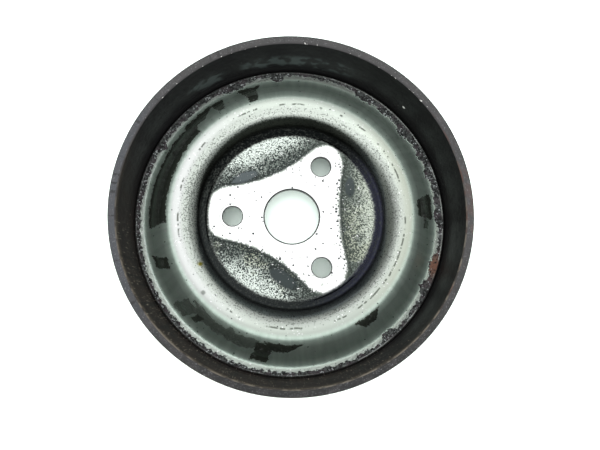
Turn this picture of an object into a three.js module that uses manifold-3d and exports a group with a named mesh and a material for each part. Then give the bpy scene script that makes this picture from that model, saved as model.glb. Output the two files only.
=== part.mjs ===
// A pressed-steel pulley for a ribbed V-belt, in millimetres. +Z is the axle's axis. The pulley rests
// on its rear face at z = 0 with its open side up, and the origin is the centre of that face.
//
// It is two steel pieces and the weld that holds them together:
//   grooved_rim  a ring with ribbed-belt grooves outside and a narrow inward flange at the rear
//   hub_dish     a pressed disc with a raised ring round a sunken, three-lobed hub
//   weld_bead    the fillet weld between the flange's inner edge and the back of the dish
import * as THREE from "three";
import { mergeVertices } from "three/addons/utils/BufferGeometryUtils.js";
import Module from "manifold-3d";

// Driving dimensions
const WIDTH = 31.5; // rear face to front face
const RIM_RADIUS = 75; // over the lands and the rib tips
const RIM_CHAMFER = 0.6;

const GROOVES = 6;
const GROOVE_PITCH = 3.56; // the PK profile of ribbed V-belts
const GROOVE_DEPTH = 2.4;
const GROOVE_ANGLE = 40; // between the two sides of one groove, in degrees
const RIB_TIP = 0.8; // flat on top of a rib

const MOUTH_RADIUS = 71.7; // inside of the wall at the open side
const MOUTH_CHAMFER = 0.5;
const WALL_FOOT_RADIUS = 70.9; // the wall closes in a little towards the dish
const WALL_FOOT_Z = 8;
const SEAT_RADIUS = 70.6; // the short straight bore that the dish sits in
const SEAT_Z = 6.2;
const FLANGE_RADIUS = 64.5;
const FLANGE_THICKNESS = 2.5;
const FLANGE_EDGE = 0.4;

const SHEET = 2.5; // thickness of the dish
const SEAT_GAP = 0.3; // between the flange and the dish
const DISH_RADIUS = 69.8;
const DISH_EDGE = 0.5;
const LEDGE_START = 66.1; // where the flat ledge round the dish begins
const LEDGE_FILLET = 5;
const OUTER_SLOPE = 60; // degrees from level, between ledge and raised ring
const CREST_RADIUS = 49; // the top of the raised ring
const CREST_Z = 20.6;
const CREST_OUTER_ROUND = 9;
const CREST_INNER_ROUND = 6.5;
const INNER_SLOPE = 65; // degrees from level, between raised ring and hub
const VALLEY_FILLET = 2;
const HUB_RADIUS = 38;
const HUB_STEP = 1; // the hub stands this far above the valley round it
const HUB_Z = 12.5;

const BORE_RADIUS = 12;
const BORE_CHAMFER = 0.3;
const LOBES = 3;
const BOLT_CIRCLE_RADIUS = 26;
const BOLT_HOLE_RADIUS = 4.35;
const FIRST_BOLT = 60; // degrees from +X, the middle of one lobe
const POCKET_ARC_RADIUS = 62; // each pocket between two lobes has one round inner edge
const POCKET_START = 20.2; // its distance from the axis
const POCKET_DEPTH = 0.7;
const POCKET_BEVEL = 2; // width of the slope at the pocket's edge

const WELD_GAP = 0.3;
const WELD_LEG = 2.7;
const WELD_BELLY = 0.35; // how far the face of the weld bulges beyond its straight chord

// Fineness of the facets
const ROUND_STEPS = 60;
const HOLE_STEPS = 32;
const WELD_FACE_STEPS = 4;
const ARC_STEP = 16; // degrees of a rounded stretch between two points of a profile
const MERGE_DISTANCE = 0.001; // vertices closer than this become one

const wasm = await Module();
wasm.setup();

const radians = THREE.MathUtils.degToRad;

// Points of a round stretch in the (radius, z) plane, from slope angle `from` to `to`, in degrees.
// side is +1 for a crown, whose centre lies below it, and -1 for a fillet, whose centre lies above.
function roundStretch(centreR, centreZ, round, from, to, side) {
  const steps = Math.max(2, Math.ceil(Math.abs(to - from) / ARC_STEP));
  const points = [];
  for (let i = 0; i <= steps; i++) {
    const angle = radians(from + ((to - from) * i) / steps);
    const r = centreR + round * Math.sin(angle);
    const z = centreZ + side * round * Math.cos(angle);
    points.push(new THREE.Vector2(r, z));
  }
  return points;
}

function point(r, z) {
  return new THREE.Vector2(r, z);
}

// A ring turned from a closed (radius, z) outline, which runs counter-clockwise.
function turned(outline) {
  const geometry = new THREE.LatheGeometry([...outline, outline[0]], ROUND_STEPS);
  return geometry.rotateX(Math.PI / 2);
}

function solidOf(geometry) {
  const bare = geometry.clone();
  bare.deleteAttribute("normal");
  bare.deleteAttribute("uv");
  const merged = mergeVertices(bare, MERGE_DISTANCE);
  const triVerts = new Uint32Array(merged.index.array);
  const vertProperties = merged.attributes.position.array;
  return new wasm.Manifold(new wasm.Mesh({ numProp: 3, vertProperties, triVerts }));
}

function geometryOf(solid) {
  const mesh = solid.getMesh();
  const geometry = new THREE.BufferGeometry();
  geometry.setAttribute("position", new THREE.BufferAttribute(mesh.vertProperties, 3));
  geometry.setIndex(new THREE.BufferAttribute(mesh.triVerts, 1));
  geometry.computeVertexNormals();
  return geometry;
}

// The rim: belt grooves outside, a nearly straight wall inside, and the flange that the dish sits on.
function grooveOutline() {
  const side = GROOVE_DEPTH * Math.tan(radians(GROOVE_ANGLE / 2));
  const mouth = GROOVE_PITCH - RIB_TIP;
  const rootRadius = RIM_RADIUS - GROOVE_DEPTH;
  const firstMiddle = (WIDTH - (GROOVES - 1) * GROOVE_PITCH) / 2;
  const points = [];
  for (let i = 0; i < GROOVES; i++) {
    const middle = firstMiddle + i * GROOVE_PITCH;
    points.push(point(RIM_RADIUS, middle - mouth / 2));
    points.push(point(rootRadius, middle - mouth / 2 + side));
    points.push(point(rootRadius, middle + mouth / 2 - side));
    points.push(point(RIM_RADIUS, middle + mouth / 2));
  }
  return points;
}

function groovedRim() {
  return turned([
    point(FLANGE_RADIUS + FLANGE_EDGE, 0),
    point(RIM_RADIUS - RIM_CHAMFER, 0),
    point(RIM_RADIUS, RIM_CHAMFER),
    ...grooveOutline(),
    point(RIM_RADIUS, WIDTH - RIM_CHAMFER),
    point(RIM_RADIUS - RIM_CHAMFER, WIDTH),
    point(MOUTH_RADIUS + MOUTH_CHAMFER, WIDTH),
    point(MOUTH_RADIUS, WIDTH - MOUTH_CHAMFER),
    point(WALL_FOOT_RADIUS, WALL_FOOT_Z),
    point(SEAT_RADIUS, SEAT_Z),
    point(SEAT_RADIUS, FLANGE_THICKNESS),
    point(FLANGE_RADIUS + FLANGE_EDGE, FLANGE_THICKNESS),
    point(FLANGE_RADIUS, FLANGE_THICKNESS - FLANGE_EDGE),
    point(FLANGE_RADIUS, FLANGE_EDGE),
  ]);
}

// The dish: both faces of the sheet follow the same centres, a sheet's thickness apart.
const ledgeBack = FLANGE_THICKNESS + SEAT_GAP;
const ledgeFront = ledgeBack + SHEET;
const ledgeCentreZ = ledgeFront + LEDGE_FILLET;
const crestOuterZ = CREST_Z - CREST_OUTER_ROUND;
const crestInnerZ = CREST_Z - CREST_INNER_ROUND;
const valleyZ = HUB_Z - HUB_STEP;
const valleyCentreZ = valleyZ + VALLEY_FILLET;

// The valley fillet lies where the straight inner slope, run down from the crest, is tangent to it.
function valleyCentreR() {
  const slope = radians(INNER_SLOPE);
  const topR = CREST_RADIUS - CREST_INNER_ROUND * Math.sin(slope);
  const topZ = crestInnerZ + CREST_INNER_ROUND * Math.cos(slope);
  const footZ = valleyCentreZ - VALLEY_FILLET * Math.cos(slope);
  const footR = topR - (topZ - footZ) / Math.tan(slope);
  return footR - VALLEY_FILLET * Math.sin(slope);
}

const valleyR = valleyCentreR();

function dishSheet() {
  const hubFace = HUB_Z - SHEET;
  const front = [
    ...roundStretch(LEDGE_START, ledgeCentreZ, LEDGE_FILLET, 0, -OUTER_SLOPE, -1),
    ...roundStretch(CREST_RADIUS, crestOuterZ, CREST_OUTER_ROUND, OUTER_SLOPE, 0, 1),
    ...roundStretch(CREST_RADIUS, crestInnerZ, CREST_INNER_ROUND, 0, -INNER_SLOPE, 1).slice(1),
    ...roundStretch(valleyR, valleyCentreZ, VALLEY_FILLET, INNER_SLOPE, 0, -1),
    ...roundStretch(HUB_RADIUS - HUB_STEP, valleyZ, HUB_STEP, 90, 0, 1),
  ];
  const back = [
    point(HUB_RADIUS - 2 * HUB_STEP, hubFace),
    point(HUB_RADIUS - HUB_STEP, hubFace - HUB_STEP),
    ...roundStretch(valleyR, valleyCentreZ, VALLEY_FILLET + SHEET, 0, INNER_SLOPE, -1),
    ...roundStretch(CREST_RADIUS, crestInnerZ, CREST_INNER_ROUND - SHEET, -INNER_SLOPE, 0, 1),
    ...roundStretch(CREST_RADIUS, crestOuterZ, CREST_OUTER_ROUND - SHEET, 0, OUTER_SLOPE, 1).slice(1),
    ...roundStretch(LEDGE_START, ledgeCentreZ, LEDGE_FILLET + SHEET, -OUTER_SLOPE, 0, -1),
  ];
  return turned([
    point(BORE_RADIUS + BORE_CHAMFER, hubFace),
    ...back,
    point(DISH_RADIUS - DISH_EDGE, ledgeBack),
    point(DISH_RADIUS, ledgeBack + DISH_EDGE),
    point(DISH_RADIUS, ledgeFront - DISH_EDGE),
    point(DISH_RADIUS - DISH_EDGE, ledgeFront),
    ...front,
    point(BORE_RADIUS + BORE_CHAMFER, HUB_Z),
    point(BORE_RADIUS, HUB_Z - BORE_CHAMFER),
    point(BORE_RADIUS, hubFace + BORE_CHAMFER),
  ]);
}

// The cutter stands a sheet's thickness clear of the hub on both sides.
function boltHoleCutter(angle) {
  const length = SHEET + 2 * SHEET;
  const geometry = new THREE.CylinderGeometry(BOLT_HOLE_RADIUS, BOLT_HOLE_RADIUS, length, HOLE_STEPS);
  geometry.rotateX(Math.PI / 2);
  geometry.translate(BOLT_CIRCLE_RADIUS, 0, HUB_Z - SHEET / 2);
  return geometry.rotateZ(angle);
}

// The part of a large disc that reaches over the hub, with a sloping edge like a coined pocket's.
function pocketCutter(angle) {
  const centre = POCKET_START + POCKET_ARC_RADIUS;
  const floorRadius = POCKET_ARC_RADIUS - POCKET_BEVEL;
  const outline = new THREE.Shape();
  outline.absarc(centre, 0, floorRadius, 0, 2 * Math.PI, false);
  const geometry = new THREE.ExtrudeGeometry(outline, {
    depth: POCKET_DEPTH,
    bevelEnabled: true,
    bevelThickness: POCKET_DEPTH,
    bevelSize: POCKET_BEVEL,
    bevelSegments: 1,
    curveSegments: ROUND_STEPS,
  });
  geometry.translate(0, 0, HUB_Z);
  return geometry.rotateZ(angle);
}

// The pockets are cut only inside the hub's own circle, so this disc trims their cutters. It reaches
// twice their depth above and below the hub's face.
function hubCircle() {
  const radius = (HUB_RADIUS + valleyR) / 2;
  const height = 2 * (2 * POCKET_DEPTH);
  const geometry = new THREE.CylinderGeometry(radius, radius, height, ROUND_STEPS);
  geometry.rotateX(Math.PI / 2);
  return geometry.translate(0, 0, HUB_Z);
}

function hubDish() {
  let dish = solidOf(dishSheet());
  const trim = solidOf(hubCircle());
  for (let i = 0; i < LOBES; i++) {
    const turn = (i * 2 * Math.PI) / LOBES;
    dish = dish.subtract(solidOf(boltHoleCutter(radians(FIRST_BOLT) + turn)));
    dish = dish.subtract(solidOf(pocketCutter(turn)).intersect(trim));
  }
  return geometryOf(dish);
}

// The weld fills the corner between the flange's inner edge and the curved back of the dish.
function weldBead() {
  const backRound = LEDGE_FILLET + SHEET + WELD_GAP;
  const outerR = FLANGE_RADIUS - WELD_GAP;
  const slopeAt = (r) => THREE.MathUtils.radToDeg(Math.asin((r - LEDGE_START) / backRound));
  const top = roundStretch(
    LEDGE_START, ledgeCentreZ, backRound, slopeAt(outerR - WELD_LEG), slopeAt(outerR), -1,
  );
  const innerEnd = top[0];
  const footZ = FLANGE_EDGE;
  const face = [];
  for (let i = 1; i < WELD_FACE_STEPS; i++) {
    const share = i / WELD_FACE_STEPS;
    const bulge = WELD_BELLY * Math.sin(Math.PI * share);
    const r = THREE.MathUtils.lerp(innerEnd.x, outerR, share) - bulge;
    const z = THREE.MathUtils.lerp(innerEnd.y, footZ, share) - bulge;
    face.push(point(r, z));
  }
  return turned([...face, point(outerR, footZ), ...top.reverse()]);
}

const steel = {
  rim: new THREE.MeshStandardMaterial({ color: 0x3b3836, roughness: 0.45, metalness: 0.6 }),
  dish: new THREE.MeshStandardMaterial({ color: 0x5c645e, roughness: 0.3, metalness: 0.7 }),
  weld: new THREE.MeshStandardMaterial({ color: 0x6e6a66, roughness: 0.55, metalness: 0.7 }),
};

const pulley = new THREE.Group();

function addPiece(name, geometry, material) {
  const mesh = new THREE.Mesh(geometry, material);
  mesh.name = name;
  pulley.add(mesh);
}

addPiece("grooved_rim", groovedRim(), steel.rim);
addPiece("hub_dish", hubDish(), steel.dish);
addPiece("weld_bead", weldBead(), steel.weld);

export default pulley;
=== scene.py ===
"""A used ribbed-belt pulley: dark coated steel, seen from almost straight above on a pale table."""
import math

import bpy
import numpy as np
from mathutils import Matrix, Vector


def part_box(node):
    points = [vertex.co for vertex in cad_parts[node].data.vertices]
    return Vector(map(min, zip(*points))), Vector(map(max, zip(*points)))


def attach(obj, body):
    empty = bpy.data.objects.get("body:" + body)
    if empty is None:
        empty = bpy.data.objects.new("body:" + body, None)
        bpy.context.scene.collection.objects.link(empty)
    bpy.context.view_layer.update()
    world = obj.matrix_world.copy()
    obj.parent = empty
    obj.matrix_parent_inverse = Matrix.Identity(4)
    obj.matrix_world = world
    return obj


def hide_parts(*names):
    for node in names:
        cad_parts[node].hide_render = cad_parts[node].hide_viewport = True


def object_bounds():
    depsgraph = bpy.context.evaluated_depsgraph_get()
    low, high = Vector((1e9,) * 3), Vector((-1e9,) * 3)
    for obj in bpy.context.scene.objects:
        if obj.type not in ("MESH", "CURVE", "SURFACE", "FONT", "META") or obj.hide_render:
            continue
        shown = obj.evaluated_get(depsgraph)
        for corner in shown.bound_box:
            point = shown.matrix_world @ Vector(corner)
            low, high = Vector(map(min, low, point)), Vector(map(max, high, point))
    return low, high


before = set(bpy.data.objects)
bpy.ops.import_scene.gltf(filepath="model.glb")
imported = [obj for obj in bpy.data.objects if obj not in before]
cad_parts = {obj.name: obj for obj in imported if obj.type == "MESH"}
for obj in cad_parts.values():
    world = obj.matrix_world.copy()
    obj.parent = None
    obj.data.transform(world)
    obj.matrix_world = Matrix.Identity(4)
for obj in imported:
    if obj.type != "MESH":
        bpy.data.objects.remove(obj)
CAD_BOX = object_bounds()

MM = 0.001

# Sizes that the frame gives
RIM_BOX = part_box("grooved_rim")
DISH_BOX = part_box("hub_dish")
WELD_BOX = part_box("weld_bead")
RIM_R = RIM_BOX[1].x
WIDTH = RIM_BOX[1].z
DISH_R = DISH_BOX[1].x
LEDGE_BACK = DISH_BOX[0].z
CREST_Z = DISH_BOX[1].z
WELD_BACK = WELD_BOX[0].z
WELD_R = WELD_BOX[1].x

# Sizes inside the boxes: the part's own, but for slightly finer edges, pockets and weld face
GROOVES = 6
GROOVE_PITCH = 3.56 * MM
GROOVE_DEPTH = 2.4 * MM
GROOVE_HALF_ANGLE = 20  # degrees
RIB_TIP = 0.8 * MM
RIB_ROUND = 0.25 * MM
RIM_EDGE = 0.6 * MM
RIM_FRONT_EDGE = 0.35 * MM
MOUTH_R = 71.7 * MM
MOUTH_EDGE = 0.5 * MM
WALL_FOOT = (70.9 * MM, 8 * MM)
SEAT = (70.6 * MM, 6.2 * MM)
FLANGE_R = 64.5 * MM
FLANGE_THICKNESS = 2.5 * MM
FLANGE_EDGE = 0.4 * MM

SHEET = 2.5 * MM
LEDGE_START = 66.1 * MM
LEDGE_FILLET = 5 * MM
DISH_EDGE = 0.45 * MM
OUTER_SLOPE = 60  # degrees from level
CREST_R = 49 * MM
CREST_OUTER_ROUND = 9 * MM
CREST_INNER_ROUND = 6.5 * MM
INNER_SLOPE = 65  # degrees from level
VALLEY_FILLET = 2 * MM
HUB_R = 38 * MM
HUB_STEP = 1 * MM
HUB_Z = 12.5 * MM
BORE_R = 12 * MM
LOBES = 3
BOLT_CIRCLE_R = 26 * MM
BOLT_HOLE_R = 4.35 * MM
FIRST_BOLT = 60  # degrees from +X
HOLE_EDGE = 0.3 * MM
LOBE_CORNER = 6 * MM

POCKET_SLOPE = 2.2 * MM  # width of the step down into a pocket
POCKET_STEP = 0.5 * MM
POCKET_FALL = 0.35 * MM  # how far a pocket's floor then falls towards the hub's edge
POCKET_LENGTH = 16 * MM  # from a pocket's inner edge to its deepest place

WELD_GAP = 0.3 * MM
WELD_LEG = 2.7 * MM
WELD_BELLY = 0.3 * MM
WELD_RIPPLES = 180
WELD_RIPPLE_HEIGHT = 0.14 * MM
WELD_RIPPLE_DIP = 0.1 * MM  # how far the face sinks between two ripples

# The hub's pockets, as (middle in degrees from +X, nearest place to the axis in mm, arc radius in mm)
POCKETS = ((2, 20.9, 100), (114, 20.0, 63), (240.5, 19.3, 60))

# One smooth patch in each pocket, as (degrees from +X, mm from the axis, half length, half width in mm)
PATCHES = ((27, 29.2, 6.0, 3.0), (140, 27.3, 8.2, 3.2), (262, 27.5, 9.2, 4.0))
PATCH_LEAN = 62  # degrees between a patch's length and the radius through its middle

# Stains without dry film on the outer slope: outer and inner radius in mm, then the stretch in degrees
# from +X that each covers at its outer end and at its inner end
STAINS = (
    (64.4, 54.6, 0, 10.8, -0.5, 6.8), (62.0, 58.8, -4.4, -1.0, -5.2, -0.8),
    (64.6, 60.5, 103.5, 113, 105.6, 111), (61.0, 52.6, 105.5, 111, 106, 110.8),
    (64.4, 55.8, 119.8, 125.2, 122, 124.8), (64.4, 58.5, 125, 140, 131, 140),
    (63.4, 53.8, 134, 184.4, 138.5, 184.2), (63.6, 56.4, 195.5, 200.4, 199.2, 204.4),
    (62.0, 58.2, 225, 228.4, 226.5, 229.8), (64.4, 56.0, 253.5, 260.5, 254.5, 261.5),
    (58.8, 55.2, 261, 268, 258, 275), (57.4, 53.6, 303, 309, 299.2, 313),
)
FAINT_STAINS = ((64.2, 57.0, 216, 222.5, 219, 227), (59.8, 55.0, 228, 254, 222, 256))
NO_STAIN = -30.0  # mm inside a stain, for a place that is far outside them all

# Scuffed stretches along the top of the raised ring, in degrees from +X
SCUFFS = (
    (-5, -1.5), (17, 27), (31, 35), (39, 40), (49, 54), (63, 66), (74.5, 75.5), (84, 90), (94, 97),
    (108, 119), (139, 147), (162, 168), (180, 194), (228, 229.5), (236, 239), (257, 275), (291, 298),
    (303, 320), (322, 352),
)

# Rust that creeps in from the cut edge, as (middle and half its stretch in degrees, depth in mm)
BLOOMS = (
    (1.5, 5, 4.8), (8, 16, 3.8), (18.5, 4.5, 4.8), (140, 70, 3.0), (40, 27, 3.9), (27, 4, 4.6),
    (50, 3, 4.6), (32, 4, 3.4), (38.5, 5, 5.8), (59, 7, 4.6),
    (75, 20, 2.3), (95.5, 3.2, 5.0), (113, 6.5, 4.6), (124, 2.2, 3.0), (134, 7, 3.6), (150.5, 2.4, 5.0),
    (223.2, 1.2, 3.2), (310, 3.6, 4.6), (324, 5, 2.8), (333, 4, 4.8), (342, 6, 4.4), (356, 3, 3.0),
)

LEAST_RUST = 2.2  # mm that the rust creeps in everywhere

# Single marks: a pale chip on the inside of the wall, then places in the plane of the dish
FLECK = (50.9 * MM, 50.1 * MM, 14.4 * MM)
YELLOW_SPECK = (-38.8 * MM, -21.4 * MM)
GREY_BLOT = (-37.2 * MM, -33.5 * MM)
COPPER_STRETCH = (342, 4.2)  # middle and spread, in degrees from +X
STIPPLED_STRETCH = (165, 25)  # the same, for the ring's most pitted side
WASHER_PRINT_R = 5.65 * MM

# Where painted reflections of the dish lie on the inside of the wall, and a gap in them, in radians from
# +X
REFLECTION_STRETCH = (1.2, 2.28)
REFLECTION_GAP_STRETCH = (1.89, 2.03)

# Fineness of the meshes
TURNS = 540
WELD_TURNS = 2 * TURNS
WELD_FACE_STEPS = 8
HOLE_STEPS = 96
FINE_STEP = 0.5 * MM
COARSE_STEP = 1.5 * MM
RIM_STEP = 2 * MM
ARC_STEP = 4  # degrees

TABLE_HALF = 10  # metres, so that its edge stays beyond every view
TABLE_DROP = 0.2 * MM  # below the pulley's rear face

# The light, as (direction, the two cosines that it rises between, its strength at each)
CEILING = ((0, 0, 1), 0.05, 0.9, 0.8, 3.3)
WINDOW = ((-0.22, 0.26, 0.94), 0.84, 0.97, 0.0, 2.4)

# The camera: almost straight above, looking down a little from the front left
LENS = 35.8
SENSOR = 36
CAMERA_PLACE = (-9.0 * MM, -41.7 * MM, 271.6 * MM)
CAMERA_TURN = (8.32, -2.75, -0.2)  # degrees


def colour(red, green, blue):
    """A display colour, 0 to 255, as linear RGBA."""
    shares = [level / 255 for level in (red, green, blue)]
    linear = [c / 12.92 if c <= 0.04 else ((c + 0.055) / 1.055) ** 2.4 for c in shares]
    return (*linear, 1.0)


def smoothstep(low, high, x):
    """Rises smoothly from 0 at low to 1 at high."""
    t = np.clip((x - low) / (high - low), 0, 1)
    return t * t * (3 - 2 * t)


# ---------------------------------------------------------------- meshes

def round_stretch(centre, radius, start, end, side):
    """Points of a round stretch in the (r, z) plane between two slope angles, in degrees.

    side is 1 for a crown, whose centre lies below it, and -1 for a fillet, whose centre lies above.
    """
    steps = max(2, math.ceil(abs(end - start) / ARC_STEP))
    angles = np.radians(np.linspace(start, end, steps + 1))
    r, z = centre
    return [(r + radius * math.sin(a), z + side * radius * math.cos(a)) for a in angles]


def rounded(corners):
    """An outline from (r, z, rounding) corners, each rounded corner made of short chords."""
    points = []
    for i, (r, z, rounding) in enumerate(corners):
        here = Vector((r, z))
        before = Vector(corners[i - 1][:2]) - here
        after = Vector(corners[(i + 1) % len(corners)][:2]) - here
        if rounding == 0:
            points.append((r, z))
            continue
        half = before.angle(after) / 2
        reach = min(rounding / math.tan(half), 0.48 * before.length, 0.48 * after.length)
        a = here + before.normalized() * reach
        b = here + after.normalized() * reach
        for t in (0, 0.25, 0.5, 0.75, 1):
            p = a * (1 - t) ** 2 + here * 2 * t * (1 - t) + b * t ** 2
            points.append((p.x, p.y))
    return points


def filled_in(points, step, closed=True):
    """The same outline with its long stretches cut to about one step."""
    made = []
    ends = points[1:] + (points[:1] if closed else [])
    for a, b in zip(points, ends):
        pieces = max(1, math.ceil(math.dist(a, b) / step))
        for i in range(pieces):
            made.append((a[0] + (b[0] - a[0]) * i / pieces, a[1] + (b[1] - a[1]) * i / pieces))
    return made


def ring_coordinates(outline, turns):
    """Vertices of a turned ring as an array of (turn, outline point, xyz)."""
    angle = np.arange(turns) * 2 * math.pi / turns
    r, z = np.array(outline).T
    points = np.empty((turns, len(outline), 3))
    points[..., 0] = np.cos(angle)[:, None] * r
    points[..., 1] = np.sin(angle)[:, None] * r
    points[..., 2] = z
    return points


def ring_object(name, points):
    """A closed ring mesh from an array of (turn, outline point, xyz), its faces pointing out."""
    turns, count = points.shape[:2]
    index = np.arange(turns * count).reshape(turns, count)
    along = np.roll(index, -1, axis=1)
    faces = np.stack([index, np.roll(index, -1, axis=0), np.roll(along, -1, axis=0), along], axis=-1)
    mesh = bpy.data.meshes.new(name)
    mesh.from_pydata(points.reshape(-1, 3).tolist(), [], faces.reshape(-1, 4).tolist())
    mesh.update()
    made = bpy.data.objects.new(name, mesh)
    bpy.context.scene.collection.objects.link(made)
    return made


def smooth(made, sharp_from):
    """Shades a mesh smoothly, except across edges sharper than so many degrees."""
    mesh = made.data
    mesh.polygons.foreach_set("use_smooth", [True] * len(mesh.polygons))
    mesh.set_sharp_from_angle(angle=math.radians(sharp_from))


def coordinates(made):
    """The vertices of an object as an array of xyz."""
    flat = np.empty(len(made.data.vertices) * 3)
    made.data.vertices.foreach_get("co", flat)
    return flat.reshape(-1, 3)


def give_mask(made, name, values):
    """Stores one value for each vertex, for the materials to read."""
    layer = made.data.attributes.new(name, "FLOAT", "POINT")
    layer.data.foreach_set("value", np.asarray(values, np.float32))


def cut(made, cutter):
    """Cuts the cutter out of an object's mesh and removes the cutter."""
    modifier = made.modifiers.new("cut", "BOOLEAN")
    modifier.operation = "DIFFERENCE"
    modifier.solver = "EXACT"
    modifier.object = cutter
    bpy.context.view_layer.update()
    evaluated = made.evaluated_get(bpy.context.evaluated_depsgraph_get())
    result = bpy.data.meshes.new_from_object(evaluated)
    made.modifiers.remove(modifier)
    made.data = result
    bpy.data.objects.remove(cutter)


# ---------------------------------------------------------------- materials

class Graph:
    """Short calls for the nodes of one material; places are in metres in the part's frame."""

    def __init__(self, name):
        self.material = bpy.data.materials.new(name)
        self.material.use_nodes = True
        self.tree = self.material.node_tree
        self.shader = self.tree.nodes["Principled BSDF"]
        self.place = self.add("ShaderNodeTexCoord").outputs["Object"]
        self.x, self.y, self.z = self.add("ShaderNodeSeparateXYZ", self.place).outputs
        flat = self.add("ShaderNodeCombineXYZ", self.x, self.y).outputs[0]
        self.radius = self.add("ShaderNodeVectorMath", flat, operation="LENGTH").outputs["Value"]
        self.angle = self.math("ARCTAN2", self.y, self.x)

    def add(self, kind, *inputs, **settings):
        """A new node with its settings and its first inputs, each a socket or a value."""
        node = self.tree.nodes.new(kind)
        for key, value in settings.items():
            setattr(node, key, value)
        for i, value in enumerate(inputs):
            self.feed(node.inputs[i], value)
        return node

    def feed(self, socket, value):
        if isinstance(value, bpy.types.NodeSocket):
            self.tree.links.new(value, socket)
        elif value is not None:
            socket.default_value = value

    def math(self, operation, a, b=None, clamp=False):
        node = self.add("ShaderNodeMath", a, b, operation=operation, use_clamp=clamp)
        return node.outputs[0]

    def span(self, value, low, high, to_low=0.0, to_high=1.0):
        """Maps low..high to to_low..to_high, smoothly and clamped."""
        node = self.add("ShaderNodeMapRange", value, low, high, to_low, to_high)
        node.interpolation_type = "SMOOTHSTEP"
        return node.outputs[0]

    def band(self, value, low, high, soft):
        """1 between low and high, fading over soft on each side."""
        rise = self.span(value, low - soft, low + soft)
        fall = self.span(value, high - soft, high + soft, 1.0, 0.0)
        return self.math("MULTIPLY", rise, fall)

    def noise(self, size, detail=2.0, place=None, seed=0.0):
        """Noise of about 0 to 1 whose lumps are about size across."""
        where = self.place if place is None else place
        shift = (seed, seed * 0.7, seed * 1.3)
        moved = self.add("ShaderNodeVectorMath", where, shift, operation="ADD").outputs[0]
        node = self.add("ShaderNodeTexNoise", moved)
        node.inputs["Scale"].default_value = 1 / size
        node.inputs["Detail"].default_value = detail
        return node.outputs["Fac"]

    def around(self, turn_scale, radius_scale=0.0, height_scale=0.0):
        """Coordinates that run round the turn, with no seam, and along the radius and the height."""
        flat = self.add("ShaderNodeCombineXYZ", self.x, self.y).outputs[0]
        turned = self.add("ShaderNodeVectorMath", flat, operation="NORMALIZE").outputs[0]
        scaled = self.add("ShaderNodeVectorMath", turned, operation="SCALE")
        scaled.inputs["Scale"].default_value = turn_scale
        along = self.math("MULTIPLY", self.radius, radius_scale)
        up = self.math("MULTIPLY", self.z, height_scale)
        rise = self.add("ShaderNodeCombineXYZ", 0.0, 0.0, self.math("ADD", along, up)).outputs[0]
        return self.add("ShaderNodeVectorMath", scaled.outputs[0], rise, operation="ADD").outputs[0]

    def pattern(self, detail, place, seed=0.0):
        """Noise with lumps of about 1 unit in the given coordinates."""
        return self.noise(1.0, detail, place, seed)

    def specks(self, spacing, size, share, seed):
        """Separate specks, up to size across, on a share of the places that lie about spacing apart."""
        wobble = self.noise(size, 2.0, seed=seed)
        shift = self.math("MULTIPLY", self.math("SUBTRACT", wobble, 0.5), size)
        across = self.math("ADD", self.x, shift)
        flat = self.add("ShaderNodeCombineXYZ", across, self.math("ADD", self.y, seed)).outputs[0]
        node = self.add("ShaderNodeTexVoronoi", flat, voronoi_dimensions="2D")
        node.inputs["Scale"].default_value = 1 / spacing
        choice, girth, _ = self.add("ShaderNodeSeparateXYZ", node.outputs["Color"]).outputs
        reach = self.math("MULTIPLY", self.span(girth, 0.0, 1.0, 0.25, 0.5), size / spacing)
        speck = self.math("LESS_THAN", node.outputs["Distance"], reach)
        return self.math("MULTIPLY", speck, self.math("LESS_THAN", choice, share))

    def away_from(self, x, y):
        """Distance in the plane from one upright axis."""
        flat = self.add("ShaderNodeCombineXYZ", self.x, self.y).outputs[0]
        return self.add("ShaderNodeVectorMath", flat, (x, y, 0.0), operation="DISTANCE").outputs["Value"]

    def mask(self, name):
        """A value that the mesh stores for each vertex."""
        return self.add("ShaderNodeAttribute", attribute_name=name).outputs["Fac"]

    def mix(self, share, a, b):
        """Colour a where share is 0 and colour b where it is 1."""
        node = self.add("ShaderNodeMix", data_type="RGBA")
        for i, value in zip((0, 6, 7), (share, a, b)):
            self.feed(node.inputs[i], value)
        return node.outputs[2]

    def blend(self, share, a, b):
        """Number a where share is 0 and number b where it is 1."""
        node = self.add("ShaderNodeMix", share, data_type="FLOAT")
        for i, value in zip((2, 3), (a, b)):
            self.feed(node.inputs[i], value)
        return node.outputs[0]

    def bump(self, height, depth, normal=None):
        """A bump whose height, 0 to 1, stands for depth in metres."""
        node = self.add("ShaderNodeBump")
        self.feed(node.inputs["Strength"], 1.0)
        self.feed(node.inputs["Distance"], 1.0)
        self.feed(node.inputs["Height"], self.math("MULTIPLY", height, depth))
        self.feed(node.inputs["Normal"], normal)
        return node.outputs[0]

    def finish(self, **sockets):
        """Feeds the shader's sockets, named with underscores for spaces, and returns the material."""
        for name, value in sockets.items():
            self.feed(self.shader.inputs[name.replace("_", " ")], value)
        return self.material


def spots(g, size, share, seed):
    """Small sharp spots: 1 on roughly that share of the surface."""
    return g.span(g.noise(size, 1.0, seed=seed), 1 - share, 1 - share + 0.03)


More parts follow.
